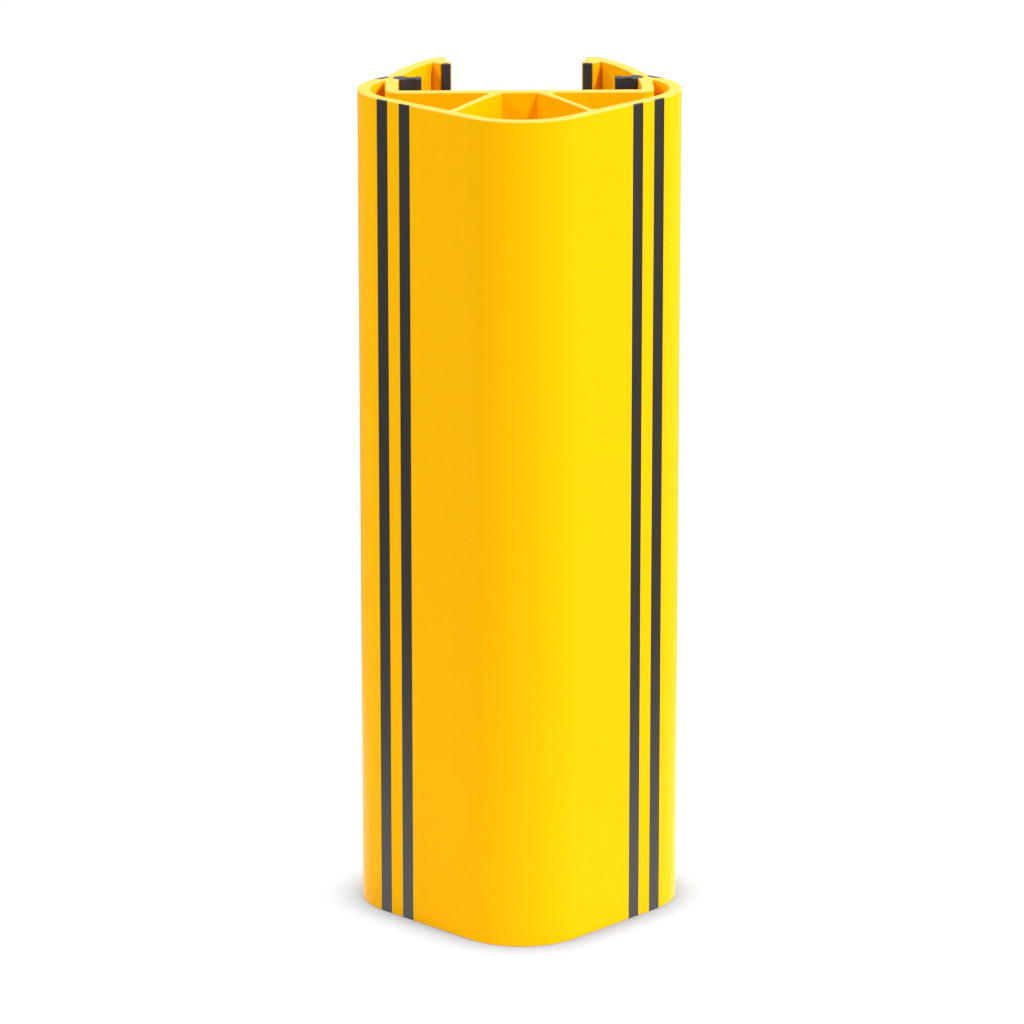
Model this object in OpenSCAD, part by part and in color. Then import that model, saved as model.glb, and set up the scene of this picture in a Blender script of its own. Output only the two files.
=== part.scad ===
// Rack column guard: a clip-on, co-extruded polymer profile that shields a pallet rack upright.
// One constant section is cut to length; soft grips and stripes run the full height.
// Millimetres, +Z up, bowed front towards -Y, origin at the bottom centre of the bounding box.

/* [Overall] */
// Length that the profile is cut to
height = 400; // [200:10:1200]
// Greatest width, across the two side lobes
width = 152; // [146:0.5:160]

/* [Front shell] */
// Outer radius of the two side lobes
lobe_r = 34.5; // [30:0.5:38]
// Outer radius of the nose
nose_r = 35.3; // [28:0.1:42]
// Distance from the line through the lobe centres to the front of the nose
nose_depth = 75.7; // [70:0.1:84]
// Wall thickness of the flanks and lobes
shell_wall = 6; // [4.5:0.25:7]
// Wall thickness at the middle of the nose
nose_wall = 6.5; // [6:0.25:9]

/* [Seat] */
// Clear width between the side walls of the seat
seat_width = 114.4; // [110:0.2:116]
// Wall thickness of the seat and the arms
seat_wall = 5.8; // [4.5:0.1:6.5]
// Distance of the seat face in front of the line through the lobe centres
seat_setback = 4.5; // [2:0.5:9]
// Outer rounding of the two front corners of the seat
seat_corner_r = 7.5; // [4:0.5:10]
// Inner rounding where the upright sits
seat_inner_r = 2; // [1:0.25:3]

/* [Ribs] */
// Thickness of the two ribs between the seat and the flanks
rib_wall = 3.25; // [2.5:0.25:6]
// Offset from the middle of a rib's rear end
rib_rear_x = 12; // [9:0.5:18]
// Offset from the middle of a rib's front end
rib_front_x = 32; // [28:0.5:36]
// Fillet at each end of a rib
rib_fillet = 1.5; // [0.5:0.25:3]

/* [Arms] */
// Outer radius of the sprung arms
arm_r = 94; // [84:1:110]
// Distance behind the lobe centres at which the arms start to curve in
arm_start = 8.4; // [2:0.2:12]
// Distance behind the lobe centres that the arms reach
arm_reach = 71; // [66:0.5:76]
// Rounding of the outer rear corner of an arm
arm_tip_r = 4; // [2:0.25:6]
// Clear width between the two hook lips
mouth = 62.5; // [59:0.5:67]
// Front-to-back length of a hook
hook_length = 14.3; // [13:0.1:16]
// Front-to-back thickness of a hook's lip
lip_wall = 4.8; // [3.5:0.1:6]
// Distance that a lip stands out past the rear end of its arm
lip_step = 2.5; // [1.5:0.25:3.5]
// Slant of a hook's inner face, from straight across the guard
hook_angle = 42; // [30:1:52]
// Rounding of a hook's small corners
hook_round = 0.8; // [0.4:0.1:1]

/* [Soft grips] */
// Clear width between the two corner grips
grip_gap = 91.4; // [86:0.2:96]
// Distance of the corner grips behind the lobe centres
grip_y = 24.2; // [20:0.2:28]
// Radius of the bulb that roots a corner grip in the wall
grip_bulb_r = 4.2; // [3.5:0.1:4.6]
// Thickness of a corner grip at its waist
grip_waist = 3.4; // [2.4:0.1:4.4]
// Thickness of a corner grip at its tip
grip_tip = 6.4; // [5.6:0.1:7.4]
// Thickness of the bead on a hook's lip
bead_out = 1.9; // [1.2:0.1:2.6]
// Width of the bead on a hook's lip
bead_width = 4.4; // [3.6:0.1:5]
// Depth that the bead's root is keyed into the lip
bead_key = 1; // [0.6:0.1:1.4]
// Radius of the groove that the flex strip fills
valley_r = 7.65; // [6:0.05:9]

/* [Stripes] */
// Width of a stripe, measured along the flank
stripe_width = 7; // [4:0.25:9]
// Distance between the middles of the two stripes of a flank
stripe_pitch = 14.5; // [11:0.25:18]
// Distance of the outer stripe's middle from the rear end of the flat flank
stripe_start = 2; // [0:0.25:6]
// Thickness of a stripe
stripe_wall = 1; // [0.6:0.1:1.6]

/* [Hidden] */
$fn = 180;
yellow = [0.98, 0.77, 0.02];
soft_black = [0.15, 0.15, 0.15];
stripe_black = [0.2, 0.2, 0.2];
// moves the section so that its bounding box is centred front to back
centre_y = (nose_depth - arm_reach) / 2;
far = 200;
// overlap at every tangent joint, so that a flat runs into its arc without a sliver face
blend = 0.002;

// front shell: a nose circle and two lobe circles, joined by common tangents
lobe_x = width / 2 - lobe_r;
nose_y = nose_r - nose_depth;
flank_span = norm([lobe_x, nose_y]);
flank_turn = atan2(nose_y, lobe_x) - acos((lobe_r - nose_r) / flank_span);
// outward normal of the left flank, and the direction along it towards the nose
flank_n = [cos(flank_turn), sin(flank_turn)];
flank_d = [-flank_n[1], flank_n[0]];
flank_k = lobe_r - lobe_x * flank_n[0];
lobe_c = [-lobe_x, 0];
flank_rear = lobe_c + lobe_r * flank_n;

// the nose's inner circle touches both inner flanks and leaves nose_wall in front
inner_front = nose_depth - nose_wall;
nose_in_r = (flank_k - shell_wall + flank_n[1] * inner_front) / (1 + flank_n[1]);

// horseshoe: seat, side walls and arms are one wall of even thickness
seat_x = seat_width / 2;
wall_x = seat_x + seat_wall;
web_front = -seat_setback - seat_wall;
arm_c = [arm_r - wall_x, arm_start];
arm_in_r = arm_r - seat_wall;

// hook of the left arm
lip_x = -mouth / 2;
end_x = lip_x - lip_step;
lip_front = arm_reach - hook_length;
lip_rear = lip_front + lip_wall;
bead_x = lip_x - 0.4 - bead_width / 2;
slant_x = bead_x - bead_width / 2 - 0.7;
tip_c = [arm_c[0] - sqrt(pow(arm_r - arm_tip_r, 2) - pow(arm_reach - arm_tip_r - arm_start, 2)),
    arm_reach - arm_tip_r];

// corner grip of the left side, rooted in the inner face of the arm
grip_face = arm_c[0] - sqrt(pow(arm_in_r, 2) - pow(grip_y - arm_start, 2));
grip_root = [grip_face + 0.7, grip_y];
grip_end = -grip_gap / 2;
grip_cut_r = 3.2;
grip_mid = (grip_root[0] + grip_end) / 2 - 0.5;

// outer valley of the left side, where the lobe's circle crosses the arm's circle
valley_p = crossing(lobe_c, lobe_r, arm_c, arm_r);
valley_c = valley_p + [0.6 - valley_r, 0];

// rounded rear end of the pocket between the left lobe and the side wall
pocket_r = 1;
pocket_c = crossing(lobe_c, lobe_r - shell_wall - pocket_r, arm_c, arm_r + pocket_r);

// rib of the left side: a bar from inside the web to inside the flank
rib_a = [-rib_rear_x, web_front];
rib_k = flank_k - shell_wall;
rib_b = [-rib_front_x, (rib_k + flank_n[0] * rib_front_x) / flank_n[1]];
rib_d = unit(rib_b - rib_a);
rib_n = [rib_d[1], -rib_d[0]];

function unit(v) = v / norm(v);
function at(list, i) = list[(i + len(list)) % len(list)];
function half_angle(a, b, c) = acos(unit(a - b) * unit(c - b)) / 2;
function bisector(a, b, c) = unit(unit(a - b) + unit(c - b));
function arc_c(a, b, c, r) = b + bisector(a, b, c) * r / sin(half_angle(a, b, c));
function left_turn(a, b, c) = cross(b - a, c - b) > 0;

// where the line p + s * d meets the line n * q = k
function meet(p, d, n, k) = p + d * (k - n * p) / (n * d);

// the rear one of the two points where two circles cross
function crossing(c1, r1, c2, r2) =
    let (l = norm(c2 - c1), u = unit(c2 - c1), t = (l * l + r1 * r1 - r2 * r2) / (2 * l))
    c1 + t * u + sqrt(r1 * r1 - t * t) * [-u[1], u[0]];

// every solid is a full-height disc or prism; a cutter runs past both ends
$over = 0;

module disc(c, r) {
    translate([c[0], c[1], -$over])
        cylinder(r = r, h = height + 2 * $over);
}

module prism(points) {
    translate([0, 0, -$over])
        linear_extrude(height = height + 2 * $over)
            polygon(points);
}

module block(x0, x1, y0, y1) {
    prism([[x0, y0], [x1, y0], [x1, y1], [x0, y1]]);
}

module cutter() {
    let ($over = $over + 1)
        children();
}

module both_sides() {
    children();
    mirror([1, 0, 0])
        children();
}

// a counter-clockwise polygon whose corners are true arcs; a radius of 0 leaves a corner sharp
module rounded(points, radii) {
    last = len(points) - 1;
    cut = [for (i = [0 : last])
        let (a = at(points, i - 1), b = points[i], c = at(points, i + 1),
            t = radii[i] / tan(half_angle(a, b, c)))
        each (radii[i] == 0 ? [b] : [b + t * unit(a - b), b + t * unit(c - b)])];
    difference() {
        union() {
            prism(cut);
            for (i = [0 : last])
                if (radii[i] > 0 && left_turn(at(points, i - 1), points[i], at(points, i + 1)))
                    disc(arc_c(at(points, i - 1), points[i], at(points, i + 1), radii[i]), radii[i] + blend);
        }
        for (i = [0 : last])
            if (radii[i] > 0 && !left_turn(at(points, i - 1), points[i], at(points, i + 1)))
                cutter()
                    disc(arc_c(at(points, i - 1), points[i], at(points, i + 1), radii[i]), radii[i] + blend);
    }
}

// the fillet that fills the corner at v between two walls that leave it along d1 and d2
module fillet(v, d1, d2, r) {
    c = arc_c(v + d1, v, v + d2, r);
    t = r / tan(half_angle(v + d1, v, v + d2));
    back = 0.5 * (d1 + d2);
    difference() {
        prism([v - back, v + t * d1 - back * 0.5, v + t * d1, c, v + t * d2, v + t * d2 - back * 0.5]);
        cutter()
            disc(c, r + blend);
    }
}

// the solid inside the front shell's outline, moved in by an even depth
module bow(depth) {
    bow_area(lobe_r - depth, nose_r - depth, nose_y);
}

// the solid under two lobe circles, a nose circle and the tangents between them
module bow_area(side_r, front_r, front_y) {
    side_t = lobe_c + (side_r - blend) * flank_n;
    front_t = [0, front_y] + (front_r - blend) * flank_n;
    both_sides()
        disc(lobe_c, side_r);
    disc([0, front_y], front_r);
    prism([side_t, front_t, [-front_t[0], front_t[1]], [-side_t[0], side_t[1]], [lobe_x, 0], lobe_c]);
}

// the solid inside one face of the horseshoe: side faces at +-x, front face at y, arms of radius r
module horseshoe(x, y, r, corner) {
    rounded([[-x, arm_start], [-x, y], [x, y], [x, arm_start]], [0, corner, corner, 0]);
    intersection() {
        disc(arm_c, r + blend);
        disc([-arm_c[0], arm_c[1]], r + blend);
        block(-far, far, arm_start - 3, arm_reach);
    }
}

// everything inside the outer face of the seat and the arms, with the arms' rear corners rounded
module upright_block() {
    u = unit(tip_c - arm_c);
    difference() {
        horseshoe(wall_x, web_front, arm_r, seat_corner_r);
        cutter()
            both_sides()
                difference() {
                    prism([tip_c, tip_c + 2 * arm_tip_r * u, tip_c + 2 * arm_tip_r * (u + [0, 1]),
                        tip_c + [0, 2 * arm_tip_r]]);
                    cutter()
                        disc(tip_c, arm_tip_r + 2 * blend);
                }
    }
}

// the hook at the end of the left arm, drawn past the arm's inner face
module hook_area() {
    inner = slant_x - 7;
    rounded([[inner, lip_front + 7 * tan(hook_angle)], [slant_x, lip_front], [lip_x, lip_front],
        [lip_x, lip_rear], [end_x, lip_rear], [end_x, arm_reach + 5], [inner, arm_reach + 5]],
        [0, hook_round, 0.3, hook_round, hook_round, 0, 0]);
}

// the open space that the upright fills, from the seat to the rear
module channel() {
    difference() {
        union() {
            horseshoe(seat_x, -seat_setback, arm_in_r, seat_inner_r);
            block(end_x, -end_x, lip_rear, arm_reach + 5);
        }
        cutter()
            both_sides()
                hook_area();
    }
}

module rib_bar() {
    side = rib_n * rib_wall / 2;
    prism([rib_a - 3 * rib_d + side, rib_b + 3 * rib_d + side, rib_b + 3 * rib_d - side,
        rib_a - 3 * rib_d - side]);
}

module rib_fillets() {
    for (side = [-1, 1]) {
        edge = rib_a + side * rib_n * rib_wall / 2;
        rear = meet(edge, rib_d, [0, 1], web_front);
        front = meet(edge, rib_d, flank_n, rib_k);
        fillet(rear, rib_d, [side * sign(rib_n[0]), 0], rib_fillet);
        fillet(front, -rib_d, flank_d * side * sign(rib_n * flank_d), rib_fillet);
    }
}

// rounds off the narrow rear end of the pocket between a lobe and the side wall
module pocket_end() {
    u = unit(pocket_c - lobe_c);
    w = unit(arm_c - pocket_c);
    difference() {
        prism([pocket_c, pocket_c + 3 * w, pocket_c + 3 * w + [0, 4], pocket_c + 4 * u + [0, 2],
            pocket_c + 4 * u]);
        cutter()
            disc(pocket_c, pocket_r + blend);
    }
}

// the three through chambers behind the shell
module chambers() {
    difference() {
        bow_area(lobe_r - shell_wall, nose_in_r, nose_in_r - inner_front);
        cutter() {
            upright_block();
            both_sides() {
                rib_bar();
                rib_fillets();
                pocket_end();
            }
        }
    }
}

module corner_grip_area() {
    difference() {
        union() {
            disc(grip_root, grip_bulb_r);
            rounded([[grip_root[0], grip_y - grip_tip / 2], [grip_end, grip_y - grip_tip / 2],
                [grip_end, grip_y + grip_tip / 2], [grip_root[0], grip_y + grip_tip / 2]], [0, 1.4, 1.4, 0]);
        }
        cutter()
            for (side = [-1, 1])
                disc([grip_mid, grip_y + side * (grip_waist / 2 + grip_cut_r)], grip_cut_r);
    }
}

module tip_grip_area() {
    w = bead_width / 2;
    rounded([[bead_x - w, lip_front], [bead_x - w, lip_front - bead_out],
        [bead_x + w, lip_front - bead_out], [bead_x + w, lip_front]], [0, 0.8, 0.8, 0]);
    bead_seat();
}

// the dovetail that keys a bead into its lip, drawn past the lip's face
module bead_seat() {
    neck = bead_width * 0.25;
    top = lip_front + bead_key;
    rounded([[bead_x - neck, lip_front - 0.5], [bead_x + neck, lip_front - 0.5],
        [bead_x + neck + 0.4, top], [bead_x - neck - 0.4, top]], [0, 0, 0.3, 0.3]);
}

module flex_strip_area() {
    intersection() {
        valley_seat();
        disc(lobe_c, lobe_r);
    }
}

// the groove in the outer valley, drawn past the lobe's outline
module valley_seat() {
    difference() {
        disc(valley_c, valley_r);
        cutter()
            upright_block();
    }
}

// a stripe lies flush with the outline
module stripe_area(middle) {
    intersection() {
        stripe_seat(middle);
        bow(0);
    }
}

// the groove for a stripe, centred at a distance along the left flank and drawn past the outline
module stripe_seat(middle) {
    start = flank_rear + flank_d * (middle - stripe_width / 2);
    end = start + flank_d * stripe_width;
    difference() {
        prism([start + 4 * flank_n, start - 4 * flank_n, end - 4 * flank_n, end + 4 * flank_n]);
        cutter()
            bow(stripe_wall);
    }
}

// what the soft pieces and the stripes take out of the body
module seats() {
    both_sides() {
        corner_grip_area();
        bead_seat();
        valley_seat();
        stripe_seat(stripe_start);
        stripe_seat(stripe_start + stripe_pitch);
    }
}

module body_area() {
    difference() {
        union() {
            bow(0);
            upright_block();
        }
        cutter() {
            chambers();
            channel();
            seats();
        }
    }
}

// centres a full-height solid on the origin
module centred(shade) {
    color(shade)
        translate([0, centre_y, 0])
            children();
}

module guard_body() {
    centred(yellow)
        body_area();
}

module left_corner_grip() {
    centred(soft_black)
        corner_grip_area();
}

module right_corner_grip() {
    centred(soft_black)
        mirror([1, 0, 0])
            corner_grip_area();
}

module left_tip_grip() {
    centred(soft_black)
        tip_grip_area();
}

module right_tip_grip() {
    centred(soft_black)
        mirror([1, 0, 0])
            tip_grip_area();
}

module left_flex_strip() {
    centred(soft_black)
        flex_strip_area();
}

module right_flex_strip() {
    centred(soft_black)
        mirror([1, 0, 0])
            flex_strip_area();
}

module left_outer_stripe() {
    centred(stripe_black)
        stripe_area(stripe_start);
}

module left_inner_stripe() {
    centred(stripe_black)
        stripe_area(stripe_start + stripe_pitch);
}

module right_inner_stripe() {
    centred(stripe_black)
        mirror([1, 0, 0])
            stripe_area(stripe_start + stripe_pitch);
}

module right_outer_stripe() {
    centred(stripe_black)
        mirror([1, 0, 0])
            stripe_area(stripe_start);
}

guard_body();
left_corner_grip();
right_corner_grip();
left_tip_grip();
right_tip_grip();
left_flex_strip();
right_flex_strip();
left_outer_stripe();
left_inner_stripe();
right_inner_stripe();
right_outer_stripe();
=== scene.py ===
"""Visual model of the rack column guard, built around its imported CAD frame.

The guard is one co-extruded profile, sawn to length. Each piece is therefore a flat section that
one Geometry Nodes tree pushes through to full height, with the sawn edges lightly broken. Sizes of
the section are in millimetres, with the origin between the lobe centres; meshes are in metres.
"""
from __future__ import annotations

import logging
import math
from collections.abc import Callable, Mapping, Sequence
from dataclasses import dataclass, field
from enum import Enum
from typing import Self, Union

import bmesh
import bpy
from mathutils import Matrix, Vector


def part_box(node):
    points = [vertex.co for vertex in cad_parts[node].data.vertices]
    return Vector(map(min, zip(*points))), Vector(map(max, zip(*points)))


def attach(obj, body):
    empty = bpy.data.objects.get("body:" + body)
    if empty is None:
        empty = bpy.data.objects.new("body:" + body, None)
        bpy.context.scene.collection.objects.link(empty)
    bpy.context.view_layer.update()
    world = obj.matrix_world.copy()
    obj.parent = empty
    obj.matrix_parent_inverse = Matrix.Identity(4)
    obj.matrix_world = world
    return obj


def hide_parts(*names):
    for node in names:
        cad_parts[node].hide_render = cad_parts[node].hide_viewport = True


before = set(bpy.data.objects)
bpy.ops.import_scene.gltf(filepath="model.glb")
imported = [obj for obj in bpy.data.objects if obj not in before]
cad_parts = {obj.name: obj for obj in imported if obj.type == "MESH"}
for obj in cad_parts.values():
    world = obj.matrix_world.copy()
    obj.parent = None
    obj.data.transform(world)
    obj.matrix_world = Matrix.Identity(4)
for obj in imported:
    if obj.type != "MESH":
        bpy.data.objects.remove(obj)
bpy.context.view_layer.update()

LOG = logging.getLogger("rack_column_guard")

MM = 0.001
BODY = "root"
# greatest distance between an arc and its chords, in millimetres
CHORD_SAG = 0.004
# distance below which two points are one: of a section in millimetres, of a mesh in metres
SAME_POINT = 1e-6
SAME_VERTEX = 1e-7
# cosine above which two sides of a section run on into each other
RUN_ON = 0.94
# greatest inset of a sharp corner, for free sides that move by one
CORNER_INSET = 2.0
# middle of the range of a pattern
MID = 0.5
INSET = "inset"
WHITE = (1.0, 1.0, 1.0, 1.0)
BLACK = (0.0, 0.0, 0.0, 1.0)


# Choices

class Edge(Enum):
    """How one side of a section meets its surroundings; the value is its share of edge break."""

    FREE = 1.0
    BONDED = 0.0


class Turn(Enum):
    """Which way an arc runs, seen from above."""

    LEFT = 1
    RIGHT = -1


class Side(Enum):
    """Which half of the guard a piece belongs to."""

    LEFT = "left"
    RIGHT = "right"


# Plane geometry

def point(x: float, y: float) -> Vector:
    """A point of the section, in millimetres."""
    return Vector((x, y))


def polar(angle: float) -> Vector:
    """The unit vector at an angle in radians."""
    return point(math.cos(angle), math.sin(angle))


def cross(a: Vector, b: Vector) -> float:
    """The signed area between two plane vectors."""
    return a.x * b.y - a.y * b.x


def mirrored(p: Vector) -> Vector:
    """The same point on the other half of the guard."""
    return point(-p.x, p.y)


def circles_meet(c1: Vector, r1: float, c2: Vector, r2: float, turn: Turn = Turn.LEFT) -> Vector:
    """Finds where two circles cross.

    Args:
        c1: Centre of the first circle.
        r1: Radius of the first circle.
        c2: Centre of the second circle.
        r2: Radius of the second circle.
        turn: Side of the line from c1 to c2 on which the wanted crossing lies.

    Returns:
        The crossing on that side.
    """
    span = (c2 - c1).length
    u = (c2 - c1) / span
    t = (span * span + r1 * r1 - r2 * r2) / (2 * span)
    return c1 + t * u + turn.value * math.sqrt(r1 * r1 - t * t) * point(-u.y, u.x)


def line_meets_line(p: Vector, d: Vector, normal: Vector, offset: float) -> Vector:
    """Where the line from p along d meets the line at an offset from the origin along a normal."""
    return p + d * ((offset - normal.dot(p)) / normal.dot(d))


def line_leaves_circle(p: Vector, d: Vector, centre: Vector, radius: float) -> Vector:
    """Where the line from p, inside a circle, leaves it along the unit vector d."""
    along = (p - centre).dot(d)
    return p + d * (math.sqrt(along ** 2 - (p - centre).length_squared + radius ** 2) - along)


@dataclass
class Sides:
    """Points of a section, and between them how each side meets its surroundings."""

    points: list[Vector]
    edges: list[Edge] = field(default_factory=list)

    def flip(self) -> Self:
        """The same sides on the other half of the guard."""
        return type(self)([mirrored(p) for p in self.points], list(self.edges))


@dataclass
class Trace(Sides):
    """An open line of a section."""

    @classmethod
    def start(cls, p: Vector) -> Trace:
        """A new line that starts at a point."""
        return cls([p.copy()])

    def line(self, end: Vector, edge: Edge = Edge.FREE) -> Trace:
        """Runs straight to a point.

        Args:
            end: Where the side ends; a point already reached adds nothing.
            edge: How the side meets its surroundings.

        Returns:
            The same line.
        """
        if (end - self.points[-1]).length > SAME_POINT:
            self.points.append(end.copy())
            self.edges.append(edge)
        return self

    def arc(self, centre: Vector, end: Vector, turn: Turn, edge: Edge = Edge.FREE) -> Trace:
        """Runs round a centre to a point, in chords that stay close to the arc.

        Args:
            centre: Centre of the arc.
            end: Where the arc ends.
            turn: Which way it runs.
            edge: How its sides meet their surroundings.

        Returns:
            The same line.
        """
        first, last = self.points[-1] - centre, end - centre
        angle = math.atan2(first.y, first.x)
        sweep = (math.atan2(last.y, last.x) - angle) * turn.value % math.tau
        chord = 2 * math.acos(1 - CHORD_SAG / last.length)
        count = max(2, math.ceil(sweep / chord))
        for i in range(1, count):
            self.line(centre + last.length * polar(angle + turn.value * sweep * i / count), edge)
        return self.line(end, edge)

    def bend(self, corner: Vector, radius: float, toward: Vector, edge: Edge = Edge.FREE) -> Trace:
        """Runs straight to a rounded corner and round it.

        Args:
            corner: The corner before it is rounded.
            radius: Radius of the rounding.
            toward: Any point of the side after the corner.
            edge: How the sides meet their surroundings.

        Returns:
            The same line.
        """
        back = (self.points[-1] - corner).normalized()
        on = (toward - corner).normalized()
        half = back.angle(on) / 2
        centre = corner + (back + on).normalized() * (radius / math.sin(half))
        reach = radius / math.tan(half)
        turn = Turn.LEFT if cross(-back, on) > 0 else Turn.RIGHT
        self.line(corner + reach * back, edge)
        return self.arc(centre, corner + reach * on, turn, edge)

    def then(self, other: Trace) -> Trace:
        """Goes on along another line, straight to its start if that lies ahead.

        Args:
            other: The line to follow.

        Returns:
            The same line.
        """
        self.line(other.points[0])
        for p, edge in zip(other.points[1:], other.edges):
            self.line(p, edge)
        return self

    def reverse(self) -> Trace:
        """The same line run backwards."""
        return Trace(self.points[::-1], self.edges[::-1])

    def with_mirror(self) -> Loop:
        """Closes a line that starts and ends on the middle plane with its own mirror image."""
        return self.then(self.reverse().flip()).close()

    def close(self) -> Loop:
        """Closes a line that has come back to its start."""
        return Loop(self.points[:-1], self.edges)


@dataclass
class Loop(Sides):
    """A closed line of a section; side i runs from point i to the next one."""

    def area(self) -> float:
        """The enclosed area, positive where the loop runs to the left."""
        return sum(cross(a, b) for a, b in zip(self.points, self.points[1:] + self.points[:1])) / 2

    def wound(self, turn: Turn) -> Loop:
        """Gives the loop a way round.

        Args:
            turn: LEFT for an outline and RIGHT for a hole, so that material is on the left.

        Returns:
            The loop, run backwards where it has to be.
        """
        if self.area() * turn.value > 0:
            return self
        edges = self.edges[::-1]
        return Loop(self.points[::-1], edges[1:] + edges[:1])

    def insets(self) -> list[Vector]:
        """Works out how each point moves when every free side moves into the material by one.

        Returns:
            One vector for each point. A bonded side stays on its own line.
        """
        moves = []
        for i, p in enumerate(self.points):
            into, out = p - self.points[i - 1], self.points[(i + 1) % len(self.points)] - p
            n1 = point(-into.y, into.x).normalized()
            n2 = point(-out.y, out.x).normalized()
            w1, w2 = self.edges[i - 1].value, self.edges[i].value
            if n1.dot(n2) > RUN_ON:
                moves.append((n1 + n2).normalized() * min(w1, w2))
                continue
            det = cross(n1, n2)
            move = point((w1 * n2.y - w2 * n1.y) / det, (w2 * n1.x - w1 * n2.x) / det)
            if move.length > CORNER_INSET:
                move *= CORNER_INSET / move.length
            moves.append(move)
        return moves


@dataclass
class Section:
    """A flat cut through one piece: its outline and its holes."""

    outline: Loop
    holes: list[Loop] = field(default_factory=list)

    def flip(self) -> Section:
        """The same section on the other half of the guard."""
        return Section(self.outline.flip(), [hole.flip() for hole in self.holes])

    def mesh(self, name: str, shift: float) -> bpy.types.Mesh:
        """Fills the section.

        Args:
            name: Name of the mesh.
            shift: Distance in millimetres that the section moves to the rear.

        Returns:
            A flat mesh that faces up, in metres, with each point's inset stored on it.
        """
        loops = [self.outline.wound(Turn.LEFT)] + [hole.wound(Turn.RIGHT) for hole in self.holes]
        work = bmesh.new()
        moves: list[float] = []
        for loop in loops:
            ring = [work.verts.new((p.x * MM, (p.y + shift) * MM, 0.0)) for p in loop.points]
            for a, b in zip(ring, ring[1:] + ring[:1]):
                work.edges.new((a, b))
            for move in loop.insets():
                moves += [move.x, move.y, 0.0]
        bmesh.ops.triangle_fill(work, edges=work.edges[:], use_beauty=True, normal=(0, 0, 1))
        work.normal_update()
        bmesh.ops.reverse_faces(work, faces=[f for f in work.faces if f.normal.z < 0])
        mesh = bpy.data.meshes.new(name)
        work.to_mesh(mesh)
        work.free()
        mesh.attributes.new(INSET, "FLOAT_VECTOR", "POINT").data.foreach_set("vector", moves)
        return mesh


# Node benches

def operator(operation: str, swapped: bool = False) -> Callable[[Signal, Value], Signal]:
    """Makes a method of Signal that adds a Math node.

    Args:
        operation: The node's operation.
        swapped: Whether the other value comes first.

    Returns:
        The method.
    """
    def method(self: Signal, other: Value = 0.0) -> Signal:
        """The result of a Math node for this and another value."""
        a, b = (other, self) if swapped else (self, other)
        return self.bench.add("ShaderNodeMath", {"Value": a, "Value_001": b}, operation=operation)
    return method


class Signal:
    """A node's output socket that takes part in Python expressions."""

    def __init__(self, bench: Bench, socket: bpy.types.NodeSocket | None) -> None:
        """Wraps a socket of the bench's tree, or nothing for a node without outputs."""
        self.bench = bench
        self.socket = socket

    __add__ = operator("ADD")
    __radd__ = operator("ADD", swapped=True)
    __sub__ = operator("SUBTRACT")
    __rsub__ = operator("SUBTRACT", swapped=True)
    __mul__ = operator("MULTIPLY")
    __rmul__ = operator("MULTIPLY", swapped=True)
    __pow__ = operator("POWER")
    __abs__ = operator("ABSOLUTE")
    at_least = operator("MAXIMUM")
    # one where this is larger than the other value, and zero elsewhere
    above = operator("GREATER_THAN")


Value = Union[float, int, bool, str, Sequence[float], Signal]


class Bench:
    """Adds nodes to one tree."""

    def __init__(self, tree: bpy.types.NodeTree) -> None:
        """Starts from an empty tree."""
        self.tree = tree
        tree.nodes.clear()

    def add(self, kind: str, sockets: Mapping[str, Value] | None = None,
            output: str | None = None, **settings: object) -> Signal:
        """Adds one node.

        Args:
            kind: The node's type.
            sockets: A value or a link for each input, by identifier or name.
            output: Identifier or name of the output that is wanted, or the first one.
            **settings: Its own properties, set first.

        Returns:
            That output.
        """
        node = self.tree.nodes.new(kind)
        for name, value in settings.items():
            setattr(node, name, value)
        for name, value in (sockets or {}).items():
            socket = self.find(node.inputs, name)
            if isinstance(value, Signal):
                self.tree.links.new(value.socket, socket)
            else:
                socket.default_value = value
        return Signal(self, self.find(node.outputs, output) if node.outputs else None)

    def more(self, signal: Signal, output: str) -> Signal:
        """Another output of the node that a signal comes from."""
        return Signal(self, self.find(signal.socket.node.outputs, output))

    @staticmethod
    def find(sockets: bpy.types.bpy_prop_collection, name: str | None) -> bpy.types.NodeSocket:
        """The socket with an identifier or else a name, or the first enabled one for None."""
        exact = [s for s in sockets if s.identifier == name]
        return (exact or [s for s in sockets if s.enabled and name in (None, s.name)])[0]

    def noise(self, place: Signal, pitch: float, detail: float = 2.0, rough: float = 0.5) -> Signal:
        """Soft noise between 0 and 1, in blotches of a pitch in metres with finer octaves."""
        return self.add("ShaderNodeTexNoise", {"Vector": place, "Scale": 1 / pitch,
                                               "Detail": detail, "Roughness": rough}, "Fac")

    @staticmethod
    def weigh(shares: Sequence[float], *signals: Signal) -> Signal:
        """Adds up signals that lie around the middle of their range.

        Args:
            shares: Share of each signal.
            *signals: The signals.

        Returns:
            Their sum, moved so that it lies around the middle as well.
        """
        total = shares[0] * signals[0]
        for share, signal in zip(shares[1:], signals[1:]):
            total = total + share * signal
        return total + (MID - MID * sum(shares))

    def mix(self, share: Value, a: Value, b: Value) -> Signal:
        """Two colours mixed, with a share of the second one."""
        return self.add("ShaderNodeMix", {"Factor_Float": share, "A_Color": a, "B_Color": b},
                        "Result_Color", data_type="RGBA", clamp_factor=True)

    def blend(self, share: Value, a: Signal, b: Signal) -> Signal:
        """Two shaders mixed, with a share of the second one."""
        return self.add("ShaderNodeMixShader", {"Fac": share, "Shader": a, "Shader_001": b})

    def matte(self, grey: float) -> Signal:
        """A matte grey shader."""
        return self.add("ShaderNodeBsdfDiffuse", {"Color": (grey, grey, grey, 1.0)})

    def glow(self, level: float, colour: Value = WHITE) -> Signal:
        """A shader that gives off light."""
        return self.add("ShaderNodeEmission", {"Color": colour, "Strength": level})


# Finishes

Rgb = tuple[float, float, float]


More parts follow.
